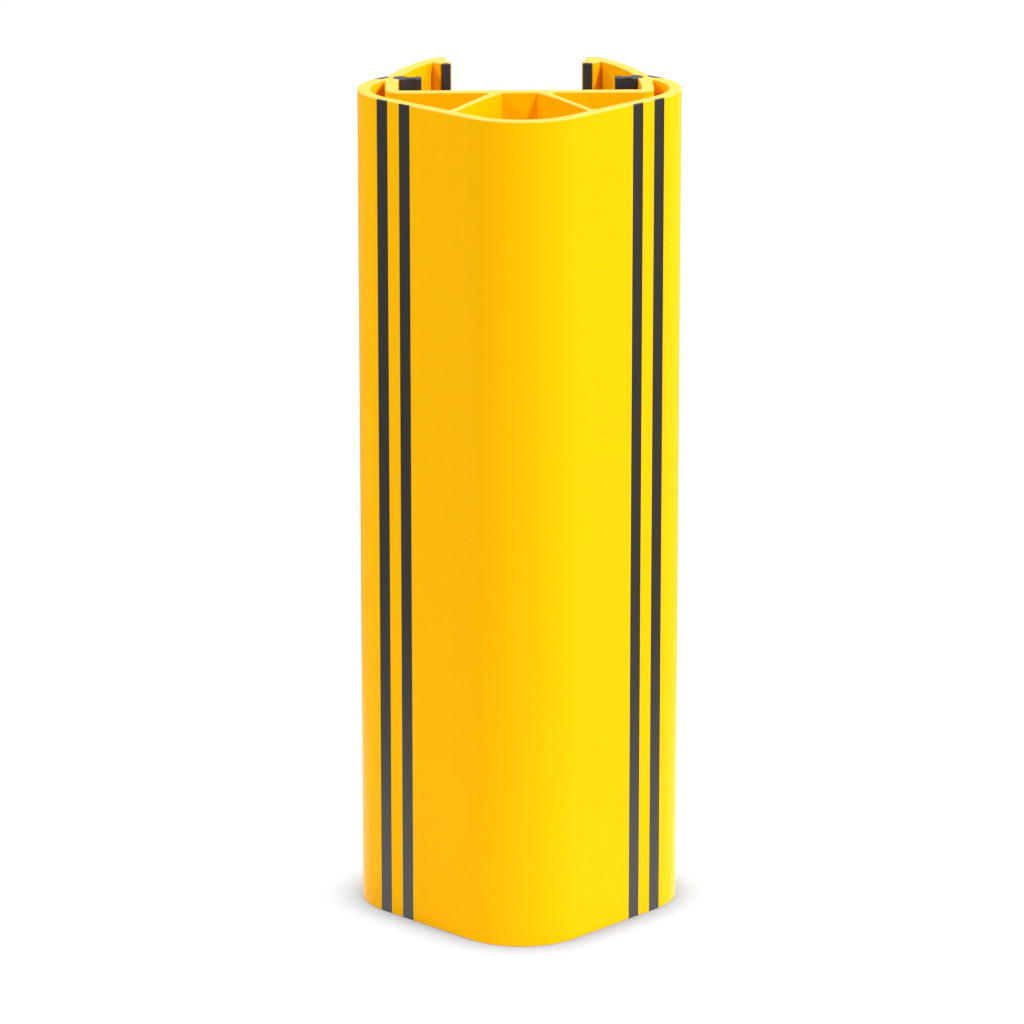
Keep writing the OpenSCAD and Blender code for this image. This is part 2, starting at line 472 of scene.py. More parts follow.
def rgba(colour: Rgb) -> tuple[float, float, float, float]:
    """A colour with full cover."""
    return (*colour, 1.0)


@dataclass(frozen=True)
class Polymer:
    """What every finish of the guard has: two shades, a gloss and a depth of relief."""

    name: str
    tint: Rgb
    shade: Rgb
    rough: float
    rough_swing: float
    relief: float
    specular: float

    def make(self) -> bpy.types.Material:
        """Builds the material.

        Returns:
            A material whose colour, roughness and relief come from its nodes.
        """
        material = bpy.data.materials.new(self.name)
        material.use_nodes = True
        material.diffuse_color = rgba(self.tint)
        bench = Bench(material.node_tree)
        place = bench.add("ShaderNodeTexCoord", output="Object")
        tone, gloss, height = self.pattern(bench, place)
        bump = bench.add("ShaderNodeBump", {"Strength": 1.0, "Distance": self.relief,
                                            "Height": height})
        shader = bench.add("ShaderNodeBsdfPrincipled", {
            "Base Color": bench.mix(tone, rgba(self.shade), rgba(self.tint)),
            "Roughness": self.rough + (gloss - MID) * self.rough_swing,
            "Specular IOR Level": self.specular,
            "Normal": bump,
        })
        bench.add("ShaderNodeOutputMaterial", {"Surface": shader})
        return material

    def pattern(self, bench: Bench, place: Signal) -> tuple[Signal, Signal, Signal]:
        """The tone, gloss and height of the surface."""
        raise NotImplementedError


@dataclass(frozen=True)
class DrawnPolymer(Polymer):
    """A wall as it leaves the die: fine lines along the length, and a faint orange peel."""

    line_pitch: float = 0.0012
    band_pitch: float = 0.016
    peel_pitch: float = 0.0020
    haze_pitch: float = 0.09
    draw: float = 0.006
    # shares of lines, bands and haze in the tone, lines, peel and haze in the gloss, lines and peel
    # in the height
    tone_mix: tuple[float, ...] = (0.35, 0.45, 0.5)
    gloss_mix: tuple[float, ...] = (0.4, 0.3, 0.3)
    height_mix: tuple[float, ...] = (0.5, 0.5)

    def pattern(self, bench: Bench, place: Signal) -> tuple[Signal, Signal, Signal]:
        """Draws the surface.

        Args:
            bench: Bench of the material.
            place: Object coordinates in metres.

        Returns:
            Tone, gloss and height, each around the middle of its range.
        """
        drawn = bench.add("ShaderNodeMapping", {"Vector": place, "Scale": (1.0, 1.0, self.draw)})
        lines = bench.noise(drawn, self.line_pitch, detail=3.0, rough=0.65)
        bands = bench.noise(drawn, self.band_pitch)
        peel = bench.noise(place, self.peel_pitch)
        haze = bench.noise(place, self.haze_pitch, detail=3.0)
        return (bench.weigh(self.tone_mix, lines, bands, haze),
                bench.weigh(self.gloss_mix, lines, peel, haze),
                bench.weigh(self.height_mix, lines, peel))


@dataclass(frozen=True)
class SawnPolymer(Polymer):
    """A sawn end: shallow arcs left by the blade over a fine torn grain."""

    mark_pitch: float = 0.0013
    grain_pitch: float = 0.0005
    haze_pitch: float = 0.02
    blade_centre: tuple[float, float, float] = (0.21, 0.13, 0.0)
    wander: float = 2.5
    wander_scale: float = 0.6
    # shares of marks, grain and haze in the tone, marks and grain in the gloss and in the height
    tone_mix: tuple[float, ...] = (0.35, 0.35, 0.6)
    gloss_mix: tuple[float, ...] = (0.4, 0.6)
    height_mix: tuple[float, ...] = (0.6, 0.4)

    def pattern(self, bench: Bench, place: Signal) -> tuple[Signal, Signal, Signal]:
        """Draws the surface.

        Args:
            bench: Bench of the material.
            place: Object coordinates in metres.

        Returns:
            Tone, gloss and height, each around the middle of its range.
        """
        swung = bench.add("ShaderNodeMapping", {"Vector": place, "Location": self.blade_centre})
        # a wave texture has one ring for each 0.314 units of its scaled coordinates
        marks = bench.add("ShaderNodeTexWave",
                          {"Vector": swung, "Scale": math.tau / 20 / self.mark_pitch,
                           "Distortion": self.wander, "Detail": 2.0,
                           "Detail Scale": self.wander_scale}, "Fac",
                          wave_type="RINGS", rings_direction="Z")
        grain = bench.noise(place, self.grain_pitch, detail=3.0, rough=0.6)
        haze = bench.noise(place, self.haze_pitch)
        return (bench.weigh(self.tone_mix, marks, grain, haze),
                bench.weigh(self.gloss_mix, marks, grain),
                bench.weigh(self.height_mix, marks, grain))


@dataclass(frozen=True)
class Dress:
    """The two finishes of a piece: its drawn walls and its sawn ends."""

    slot: str
    wall: Polymer
    sawn: Polymer


YELLOW = Dress(
    "yellow_shell",
    DrawnPolymer("yellow_wall", (0.990, 0.506, 0.0), (0.976, 0.483, 0.0),
                 rough=0.30, rough_swing=0.12, relief=0.012 * MM, specular=0.03),
    SawnPolymer("yellow_sawn", (0.93, 0.530, 0.096), (0.90, 0.470, 0.068),
                rough=0.68, rough_swing=0.20, relief=0.03 * MM, specular=0.20),
)
# the walls' blue tint is painted against light: it cancels the yellow light that the shell bounces
# onto the soft parts, so that they render neutral black
SOFT_BLACK = Dress(
    "soft_black",
    DrawnPolymer("soft_black_wall", (0.010, 0.0145, 0.025), (0.006, 0.009, 0.016),
                 rough=0.60, rough_swing=0.14, relief=0.02 * MM, specular=0.50,
                 line_pitch=0.0008, peel_pitch=0.0009),
    SawnPolymer("soft_black_sawn", (0.056, 0.056, 0.057), (0.030, 0.030, 0.031),
                rough=0.75, rough_swing=0.20, relief=0.04 * MM, specular=0.30),
)
STRIPE_BLACK = Dress(
    "stripe_black",
    DrawnPolymer("stripe_black_wall", (0.0175, 0.0168, 0.0150), (0.0125, 0.0120, 0.0107),
                 rough=0.35, rough_swing=0.12, relief=0.012 * MM, specular=0.50),
    SawnPolymer("stripe_black_sawn", (0.085, 0.085, 0.085), (0.05, 0.05, 0.05),
                rough=0.70, rough_swing=0.20, relief=0.03 * MM, specular=0.30),
)


# Extrusion by Geometry Nodes

@dataclass
class SawnExtrusion:
    """Pushes flat sections through to full height and breaks their sawn edges."""

    height: float
    edge_break: float = 0.25 * MM
    sharp_angle: float = math.radians(28)
    # upward share of a face's normal above which it is a sawn end
    end_slope: float = 0.5
    tree: bpy.types.NodeTree = field(init=False)
    materials: dict[str, bpy.types.Material] = field(init=False, default_factory=dict)

    def __post_init__(self) -> None:
        """Builds the tree that all pieces share."""
        self.tree = self.build_tree()

    def build_tree(self) -> bpy.types.NodeTree:
        """Builds the Geometry Nodes tree.

        Returns:
            A tree with the inputs Height, Edge Break, Wall and Sawn End.
        """
        tree = bpy.data.node_groups.new("sawn_extrusion", "GeometryNodeTree")
        sockets = (("Section", "INPUT", "Geometry"), ("Height", "INPUT", "Float"),
                   ("Edge Break", "INPUT", "Float"), ("Wall", "INPUT", "Material"),
                   ("Sawn End", "INPUT", "Material"), ("Piece", "OUTPUT", "Geometry"))
        for name, way, kind in sockets:
            tree.interface.new_socket(name=name, in_out=way, socket_type="NodeSocket" + kind)
        bench = Bench(tree)
        section = bench.add("NodeGroupInput", output="Section")
        height = bench.more(section, "Height")
        rim = bench.more(section, "Edge Break")
        inset = bench.add("GeometryNodeInputNamedAttribute", {"Name": INSET}, "Attribute",
                          data_type="FLOAT_VECTOR")

        foot = self.slide(bench, section, True, inset, rim)
        wide, top = self.rise(bench, foot, True, rim)
        wide = self.slide(bench, wide, top, inset, rim * -1.0)
        tall, top = self.rise(bench, wide, top, height - rim * 2.0)
        tall, top = self.rise(bench, tall, top, rim)
        tall = self.slide(bench, tall, top, inset, rim)

        sole = bench.add("GeometryNodeFlipFaces", {"Mesh": foot})
        joined = bench.add("GeometryNodeJoinGeometry", {"Geometry": tall})
        tree.links.new(sole.socket, joined.socket.node.inputs[0])
        merged = bench.add("GeometryNodeMergeByDistance",
                           {"Geometry": joined, "Distance": SAME_VERTEX})
        smooth = bench.add("GeometryNodeSetShadeSmooth",
                           {"Geometry": merged, "Shade Smooth": True}, domain="FACE")
        fold = bench.add("GeometryNodeInputMeshEdgeAngle", output="Unsigned Angle")
        creased = bench.add("GeometryNodeSetShadeSmooth",
                            {"Geometry": smooth, "Selection": fold.above(self.sharp_angle),
                             "Shade Smooth": False}, domain="EDGE")
        whole = bench.add("GeometryNodeRealizeInstances", {"Geometry": creased})
        walls = bench.add("GeometryNodeSetMaterial",
                          {"Geometry": whole, "Material": bench.more(section, "Wall")})
        facing = bench.add("GeometryNodeInputNormal", output="Normal")
        upright = bench.add("ShaderNodeSeparateXYZ", {"Vector": facing}, "Z")
        ends = bench.add("GeometryNodeSetMaterial",
                         {"Geometry": walls, "Selection": abs(upright).above(self.end_slope),
                          "Material": bench.more(section, "Sawn End")})
        bench.add("NodeGroupOutput", {"Piece": ends})
        return tree

    @staticmethod
    def slide(bench: Bench, mesh: Signal, which: Value, inset: Signal, amount: Signal) -> Signal:
        """A mesh of which some faces have moved in from their free sides by an amount."""
        move = bench.add("ShaderNodeVectorMath", {"Vector": inset, "Scale": amount}, "Vector",
                         operation="SCALE")
        return bench.add("GeometryNodeSetPosition",
                         {"Geometry": mesh, "Selection": which, "Offset": move})

    @staticmethod
    def rise(bench: Bench, mesh: Signal, which: Value, amount: Signal) -> tuple[Signal, Signal]:
        """Pulls faces of a mesh up.

        Args:
            bench: Bench of the tree.
            mesh: The mesh.
            which: Which of its faces rise.
            amount: Distance to rise.

        Returns:
            The mesh, and which of its faces are now on top.
        """
        up = bench.add("ShaderNodeCombineXYZ", {"Z": amount})
        risen = bench.add("GeometryNodeExtrudeMesh",
                          {"Mesh": mesh, "Selection": which, "Offset": up, "Offset Scale": 1.0,
                           "Individual": False}, "Mesh", mode="FACES")
        return risen, bench.more(risen, "Top")

    def finish(self, polymer: Polymer) -> bpy.types.Material:
        """The material of a finish, made when it is first asked for."""
        if polymer.name not in self.materials:
            self.materials[polymer.name] = polymer.make()
        return self.materials[polymer.name]

    def push(self, name: str, section: Section, dress: Dress, shift: float) -> bpy.types.Object:
        """Makes one piece.

        Args:
            name: Name of the piece.
            section: Its section.
            dress: Its finishes.
            shift: Distance in millimetres that the section moves to the rear.

        Returns:
            A plain mesh object at the origin.
        """
        flat = section.mesh(name + "_section", shift)
        piece = bpy.data.objects.new(name, flat)
        bpy.context.scene.collection.objects.link(piece)
        press = piece.modifiers.new(self.tree.name, "NODES")
        press.node_group = self.tree
        values = {"Height": self.height, "Edge Break": self.edge_break,
                  "Wall": self.finish(dress.wall), "Sawn End": self.finish(dress.sawn)}
        for item in self.tree.interface.items_tree:
            if item.item_type == "SOCKET" and item.name in values:
                press[item.identifier] = values[item.name]
        ready = piece.evaluated_get(bpy.context.evaluated_depsgraph_get())
        mesh = bpy.data.meshes.new_from_object(ready)
        mesh.name = name
        piece.modifiers.clear()
        piece.data = mesh
        bpy.data.meshes.remove(flat)
        mesh.attributes.remove(mesh.attributes[INSET])
        return piece


# The guard's section; all lines are of the left half

@dataclass(frozen=True)
class Plan:
    """Circles and lines that the pieces share."""

    width: float = 152.0
    lobe_r: float = 34.5
    nose_r: float = 35.3
    nose_depth: float = 75.7
    shell_wall: float = 6.0
    seat_width: float = 114.4
    seat_wall: float = 5.8
    seat_setback: float = 4.5
    arm_r: float = 94.0
    arm_start: float = 8.4
    arm_reach: float = 71.0

    @property
    def shift(self) -> float:
        """Distance to the rear that centres the section front to back."""
        return (self.nose_depth - self.arm_reach) / 2

    @property
    def lobe_c(self) -> Vector:
        """Centre of the lobe."""
        return point(self.lobe_r - self.width / 2, 0.0)

    @property
    def nose_c(self) -> Vector:
        """Centre of the nose."""
        return point(0.0, self.nose_r - self.nose_depth)

    @property
    def flank_n(self) -> Vector:
        """Outward normal of the flank, the common tangent of lobe and nose."""
        span = self.nose_c - self.lobe_c
        lean = math.acos((self.lobe_r - self.nose_r) / span.length)
        return polar(math.atan2(span.y, span.x) - lean)

    @property
    def flank_d(self) -> Vector:
        """Direction along the flank towards the nose."""
        return point(-self.flank_n.y, self.flank_n.x)

    @property
    def flank_rear(self) -> Vector:
        """Where the flank runs into the lobe."""
        return self.lobe_c + self.lobe_r * self.flank_n

    @property
    def inner_flank(self) -> float:
        """Distance of the flank's inner face from the origin along its normal."""
        return self.flank_n.dot(self.flank_rear) - self.shell_wall

    @property
    def seat_x(self) -> float:
        """Half the clear width of the seat."""
        return self.seat_width / 2

    @property
    def wall_x(self) -> float:
        """Half the width over the seat's side walls."""
        return self.seat_x + self.seat_wall

    @property
    def web_front(self) -> float:
        """Front face of the seat's wall."""
        return -self.seat_setback - self.seat_wall

    @property
    def arm_c(self) -> Vector:
        """Centre that the arm curves about."""
        return point(self.arm_r - self.wall_x, self.arm_start)

    @property
    def arm_in_r(self) -> float:
        """Inner radius of the arm."""
        return self.arm_r - self.seat_wall

    def on_flank(self, along: float, depth: float = 0.0) -> Vector:
        """A point beside the flank's rear end.

        Args:
            along: Distance towards the nose.
            depth: Distance below the surface.

        Returns:
            The point, on the lobe's circle where it lies behind the flank.
        """
        foot = self.flank_rear + along * self.flank_d - depth * self.flank_n
        if along >= 0:
            return foot
        radius = self.lobe_r - depth
        rise = math.sqrt(radius ** 2 - along ** 2)
        return self.lobe_c + along * self.flank_d + rise * self.flank_n


@dataclass(frozen=True)
class Strip:
    """A piece that is set into the shell: a free face, and a seat that it shares with the shell."""

    plan: Plan

    def seat(self) -> Trace:
        """The bonded line, run as the shell's outline runs."""
        raise NotImplementedError

    def face(self) -> Trace:
        """The free line, from the seat's end back to its start."""
        raise NotImplementedError

    def section(self) -> Section:
        """The whole piece."""
        return Section(self.seat().then(self.face()).close())


@dataclass(frozen=True)
class FlankStripe(Strip):
    """A flat stripe that lies flush in the flank."""

    middle: float
    width: float = 7.0
    depth: float = 1.0

    def run(self, depth: float, edge: Edge) -> Trace:
        """Follows the flank from the stripe's front edge to its rear edge.

        Args:
            depth: Distance below the surface.
            edge: How the line meets its surroundings.

        Returns:
            The line, which runs on round the lobe where the stripe reaches past the flank.
        """
        front, rear = self.middle + self.width / 2, self.middle - self.width / 2
        trace = Trace.start(self.plan.on_flank(front, depth))
        trace.line(self.plan.on_flank(max(rear, 0.0), depth), edge)
        if rear < 0:
            trace.arc(self.plan.lobe_c, self.plan.on_flank(rear, depth), Turn.RIGHT, edge)
        return trace

    def seat(self) -> Trace:
        """The groove that holds the stripe."""
        floor = self.run(self.depth, Edge.BONDED)
        top = self.run(0.0, Edge.FREE)
        trace = Trace.start(top.points[0]).line(floor.points[0], Edge.BONDED).then(floor)
        return trace.line(top.points[-1], Edge.BONDED)

    def face(self) -> Trace:
        """The stripe's visible face."""
        return self.run(0.0, Edge.FREE).reverse()


@dataclass(frozen=True)
class FlexStrip(Strip):
    """A soft strip in the outer valley, where the lobe meets the arm."""

    groove_r: float = 7.65
    undercut: float = 0.6

    @property
    def valley(self) -> Vector:
        """The bottom of the valley."""
        p = self.plan
        return circles_meet(p.lobe_c, p.lobe_r, p.arm_c, p.arm_r)

    def seat(self) -> Trace:
        """The groove, and the short length of arm beside it."""
        p, centre = self.plan, self.valley + point(self.undercut - self.groove_r, 0.0)
        front = circles_meet(p.lobe_c, p.lobe_r, centre, self.groove_r)
        inner = circles_meet(centre, self.groove_r, p.arm_c, p.arm_r, Turn.RIGHT)
        trace = Trace.start(front).arc(centre, inner, Turn.LEFT, Edge.BONDED)
        return trace.arc(p.arm_c, self.valley, Turn.RIGHT, Edge.BONDED)

    def face(self) -> Trace:
        """The strip's visible face, flush with the lobe."""
        front = self.seat().points[0]
        return Trace.start(self.valley).arc(self.plan.lobe_c, front, Turn.LEFT)


@dataclass(frozen=True)
class CornerGrip(Strip):
    """A soft fin, waisted like a dog bone, whose bulb is rooted in the arm."""

    gap: float = 91.4
    middle: float = 24.2
    bulb_r: float = 4.2
    waist: float = 3.4
    tip: float = 6.4
    hollow_r: float = 3.2
    tip_r: float = 1.4
    root_out: float = 0.7
    waist_back: float = 0.5

    @property
    def root(self) -> Vector:
        """Centre of the bulb."""
        p = self.plan
        rise = self.middle - p.arm_start
        wall = p.arm_c.x - math.sqrt(p.arm_in_r ** 2 - rise ** 2)
        return point(wall + self.root_out, self.middle)

    def seat(self) -> Trace:
        """The socket of the bulb."""
        p = self.plan
        rear = circles_meet(self.root, self.bulb_r, p.arm_c, p.arm_in_r, Turn.LEFT)
        front = circles_meet(self.root, self.bulb_r, p.arm_c, p.arm_in_r, Turn.RIGHT)
        return Trace.start(rear).arc(self.root, front, Turn.LEFT, Edge.BONDED)

    def face(self) -> Trace:
        """The fin, from the front of its bulb round its tip to the rear."""
        seat, end, half = self.seat(), -self.gap / 2, self.tip / 2
        across = (self.root.x + end) / 2 - self.waist_back
        drop = self.waist / 2 + self.hollow_r
        front_c = point(across, self.middle - drop)
        rear_c = point(across, self.middle + drop)
        reach = math.sqrt(self.hollow_r ** 2 - (drop - half) ** 2)
        front = circles_meet(self.root, self.bulb_r, front_c, self.hollow_r, Turn.RIGHT)
        rear = circles_meet(self.root, self.bulb_r, rear_c, self.hollow_r, Turn.LEFT)
        low, high = self.middle - half, self.middle + half
        trace = Trace.start(seat.points[-1]).arc(self.root, front, Turn.LEFT)
        trace.arc(front_c, point(across + reach, low), Turn.RIGHT)
        trace.bend(point(end, low), self.tip_r, point(end, high))
        trace.bend(point(end, high), self.tip_r, point(across + reach, high))
        trace.line(point(across + reach, high)).arc(rear_c, rear, Turn.RIGHT)
        return trace.arc(self.root, seat.points[0], Turn.LEFT)


@dataclass(frozen=True)
class Hook:
    """Sizes of the hooked end of an arm."""

    mouth: float = 62.5
    length: float = 14.3
    lip_wall: float = 4.8
    lip_step: float = 2.5
    angle: float = math.radians(42)
    round: float = 0.8
    lip_round: float = 0.3
    tip_r: float = 4.0


@dataclass(frozen=True)
class TipGrip(Strip):
    """A soft bead that is keyed into the front of a hook's lip by a dovetail."""

    hook: Hook
    width: float = 4.4
    out: float = 1.9
    key: float = 1.0
    # half of the key is a share of half the bead, and its floor and its neck flare out past that
    key_share: float = 0.5
    key_flare: float = 0.4
    neck_flare: float = 0.4 / 3
    face_r: float = 0.8
    key_r: float = 0.3
    lip_margin: float = 0.4

    @property
    def lip_front(self) -> float:
        """Front face of the lip."""
        return self.plan.arm_reach - self.hook.length

    @property
    def middle(self) -> float:
        """Middle of the bead, across the guard."""
        return -self.hook.mouth / 2 - self.lip_margin - self.width / 2

    def seat(self) -> Trace:
        """The lip's face under the bead, with the dovetail cut into it."""
        x, y, half = self.middle, self.lip_front, self.width / 2
        neck = half * self.key_share + self.neck_flare
        flare = half * self.key_share + self.key_flare
        trace = Trace.start(point(x + half, y)).line(point(x + neck, y), Edge.BONDED)
        trace.bend(point(x + flare, y + self.key), self.key_r, point(x, y + self.key), Edge.BONDED)
        trace.bend(point(x - flare, y + self.key), self.key_r, point(x - neck, y), Edge.BONDED)
        trace.line(point(x - neck, y), Edge.BONDED)
        return trace.line(point(x - half, y), Edge.BONDED)

    def face(self) -> Trace:
        """The bead's visible sides."""
        x, y, half = self.middle, self.lip_front, self.width / 2
        front = y - self.out
        trace = Trace.start(point(x - half, y))
        trace.bend(point(x - half, front), self.face_r, point(x, front))
        trace.bend(point(x + half, front), self.face_r, point(x + half, y))
        return trace.line(point(x + half, y))


@dataclass(frozen=True)
class Shell:
    """The rigid extrusion: bowed front, chambers, seat and sprung arms."""

    plan: Plan
    hook: Hook
    stripes: tuple[FlankStripe, ...]
    strip: FlexStrip
    grip: CornerGrip
    bead: TipGrip
    nose_wall: float = 6.5
    seat_corner_r: float = 7.5
    seat_inner_r: float = 2.0
    rib_wall: float = 3.25
    rib_rear_x: float = 12.0
    rib_front_x: float = 32.0
    rib_fillet: float = 1.5
    root_x: float = 8.2
    root_reach: float = 15.0
    root_round: float = 0.5
    heel_r: float = 20.0
    pocket_r: float = 1.0
    slant_margin: float = 0.7

    def outline(self) -> Loop:
        """Runs round the outside, from the nose by way of the arm to the seat, and back.

        Returns:
            The closed outline.
        """
        p, hook = self.plan, self.hook
        trace = Trace.start(point(0.0, -p.nose_depth))
        trace.arc(p.nose_c, p.nose_c + p.nose_r * p.flank_n, Turn.RIGHT)
        for stripe in self.stripes:
            trace.then(stripe.seat())
        groove = self.strip.seat()
        trace.arc(p.lobe_c, groove.points[0], Turn.RIGHT).then(groove)

        reach = p.arm_reach - hook.tip_r
        lean = math.sqrt((p.arm_r - hook.tip_r) ** 2 - (reach - p.arm_start) ** 2)
        tip_c = point(p.arm_c.x - lean, reach)
        tangent = tip_c + hook.tip_r * (tip_c - p.arm_c).normalized()
        trace.arc(p.arm_c, tangent, Turn.RIGHT)
        trace.arc(tip_c, tip_c + point(0.0, hook.tip_r), Turn.RIGHT)

        lip, end = -hook.mouth / 2, -hook.mouth / 2 - hook.lip_step
        front = self.bead.lip_front
        rear = front + hook.lip_wall
        trace.line(point(end, p.arm_reach))
        trace.bend(point(end, rear), hook.round, point(lip, rear))
        trace.bend(point(lip, rear), hook.round, point(lip, front))
        trace.bend(point(lip, front), hook.lip_round, point(end, front))
        trace.then(self.bead.seat())
        slant = point(trace.points[-1].x - self.slant_margin, front)
        root = line_leaves_circle(slant, polar(math.pi - hook.angle), p.arm_c, p.arm_in_r)
        trace.bend(slant, hook.round, root).line(root)

        socket = self.grip.seat()
        trace.arc(p.arm_c, socket.points[0], Turn.LEFT).then(socket)
        trace.arc(p.arm_c, point(-p.seat_x, p.arm_start), Turn.LEFT)
        middle = point(0.0, -p.seat_setback)
        trace.bend(point(-p.seat_x, -p.seat_setback), self.seat_inner_r, middle)
        return trace.line(middle).with_mirror()

    def rib_corners(self, side: int) -> tuple[Vector, Vector]:
        """Finds where one face of the rib meets the seat's wall and the flank.

        Args:
            side: 1 for the face towards the lobe, -1 for the face towards the middle.

        Returns:
            The rear corner and the front corner.
        """
        p = self.plan
        rear = point(-self.rib_rear_x, p.web_front)
        front = point(-self.rib_front_x,
                      (p.inner_flank + p.flank_n.x * self.rib_front_x) / p.flank_n.y)
        along = (front - rear).normalized()
        face = rear + side * self.rib_wall / 2 * point(along.y, -along.x)
        return (line_meets_line(face, along, point(0.0, 1.0), p.web_front),
                line_meets_line(face, along, p.flank_n, p.inner_flank))

    def side_chamber(self) -> Loop:
        """The chamber between rib, flank, lobe and seat, with its narrow pocket to the rear."""
        p, inner_r = self.plan, self.plan.lobe_r - self.plan.shell_wall
        pocket = circles_meet(p.lobe_c, inner_r - self.pocket_r, p.arm_c, p.arm_r + self.pocket_r)
        rear, front = self.rib_corners(1)
        start = (rear + point(-p.wall_x, p.web_front)) / 2
        trace = Trace.start(start)
        trace.bend(point(-p.wall_x, p.web_front), self.seat_corner_r, point(-p.wall_x, 0.0))
        trace.line(point(-p.wall_x, p.arm_start))
        trace.arc(p.arm_c, pocket + self.pocket_r * (p.arm_c - pocket).normalized(), Turn.RIGHT)
        trace.arc(pocket, p.lobe_c + inner_r * (pocket - p.lobe_c).normalized(), Turn.LEFT)
        trace.arc(p.lobe_c, p.lobe_c + inner_r * p.flank_n, Turn.LEFT)
        trace.bend(front, self.rib_fillet, rear).bend(rear, self.rib_fillet, start)
        return trace.line(start).close()

    def middle_chamber(self) -> Loop:
        """The chamber behind the nose, between the ribs."""
        p = self.plan
        front_y = p.nose_depth - self.nose_wall
        radius = (p.inner_flank + p.flank_n.y * front_y) / (1 + p.flank_n.y)
        centre = point(0.0, radius - front_y)
        tangent = centre + radius * p.flank_n
        rear, front = self.rib_corners(-1)
        # the rib thickens towards the seat on this side
        root = point(-self.root_x, p.web_front)
        heel = rear + self.root_reach * (front - rear).normalized()
        trace = Trace.start(point(0.0, p.web_front))
        trace.bend(root, self.root_round, heel).bend(heel, self.heel_r, front)
        trace.bend(front, self.rib_fillet, tangent)
        trace.line(tangent).arc(centre, point(0.0, -front_y), Turn.LEFT)
        return trace.with_mirror()

    def section(self) -> Section:
        """The whole extrusion, with its three chambers."""
        side = self.side_chamber()
        return Section(self.outline(), [side, self.middle_chamber(), side.flip()])


# The guard

@dataclass
class RackGuard:
    """The whole guard, piece by piece."""

    extrusion: SawnExtrusion
    plan: Plan = Plan()
    hook: Hook = Hook()
    stripe_start: float = 2.0
    stripe_pitch: float = 14.5

    def place(self, name: str, node: str, section: Section, dress: Dress) -> bpy.types.Object:
        """Makes one piece and lets it stand for its CAD node.

        Args:
            name: Name of the piece.
            node: The CAD node that it replaces.
            section: Its section.
            dress: Its finishes.

        Returns:
            The piece.
        """
        piece = self.extrusion.push(name, section, dress, self.plan.shift)
        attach(piece, BODY)
        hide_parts(node)
        LOG.info("%s: %d faces, stands for %s", name, len(piece.data.polygons), node)
        return piece

    def build(self) -> list[bpy.types.Object]:
        """Builds every piece.

        Returns:
            The pieces, the rigid shell first.
        """
        outer = FlankStripe(self.plan, self.stripe_start)
        inner = FlankStripe(self.plan, self.stripe_start + self.stripe_pitch)
        valley, grip = FlexStrip(self.plan), CornerGrip(self.plan)
        bead = TipGrip(self.plan, self.hook)
        shell = Shell(self.plan, self.hook, (inner, outer), valley, grip, bead)
        pieces = [self.place("shell_extrusion", "guard_body", shell.section(), YELLOW)]
        strips = (("corner_fin", "corner_grip", grip, SOFT_BLACK),
                  ("hook_bead", "tip_grip", bead, SOFT_BLACK),
                  ("valley_strip", "flex_strip", valley, SOFT_BLACK),
                  ("outer_band", "outer_stripe", outer, STRIPE_BLACK),
                  ("inner_band", "inner_stripe", inner, STRIPE_BLACK))
        for name, node, strip, dress in strips:
            left = strip.section()
            for side, section in ((Side.LEFT, left), (Side.RIGHT, left.flip())):
                half = side.value
                pieces.append(self.place(f"{half}_{name}", f"{half}_{node}", section, dress))
        return pieces


# Stage

def direction(azimuth: float, elevation: float) -> Vector:
    """The unit vector to a place at degrees right of straight ahead and above the horizon."""
    a, e = math.radians(azimuth), math.radians(elevation)
    return Vector((math.sin(a) * math.cos(e), -math.cos(a) * math.cos(e), math.sin(e)))


def looking(name: str, data: bpy.types.ID, eye: Vector, target: Vector) -> bpy.types.Object:
    """Adds a lamp or a camera to the scene.

    Args:
        name: Its name.
        data: The lamp or the camera.
        eye: Where it stands.
        target: What it looks at.

    Returns:
        Its object.
    """
    holder = bpy.data.objects.new(name, data)
    bpy.context.scene.collection.objects.link(holder)
    holder.location = eye
    holder.rotation_euler = (target - eye).to_track_quat("-Z", "Y").to_euler()
    return holder


@dataclass(frozen=True)
class Softbox:
    """A lamp with a flat face that looks at the guard."""

    name: str
    azimuth: float
    elevation: float
    distance: float
    width: float
    height: float
    level: float

    def light(self, target: Vector) -> bpy.types.Object:
        """Sets up the lamp.

        Args:
            target: What it looks at.

        Returns:
            The lamp, under which a white card in the target's place shows the lamp's level.
        """
        lamp = bpy.data.lights.new(self.name, "AREA")
        lamp.shape = "RECTANGLE"
        lamp.size = self.width
        lamp.size_y = self.height
        # a flat lamp sends power / pi straight ahead, and a white card sends back light / pi
        lamp.energy = self.level * (math.pi * self.distance) ** 2
        eye = target + direction(self.azimuth, self.elevation) * self.distance
        holder = looking(self.name, lamp, eye, target)
        holder.visible_camera = False
        return holder


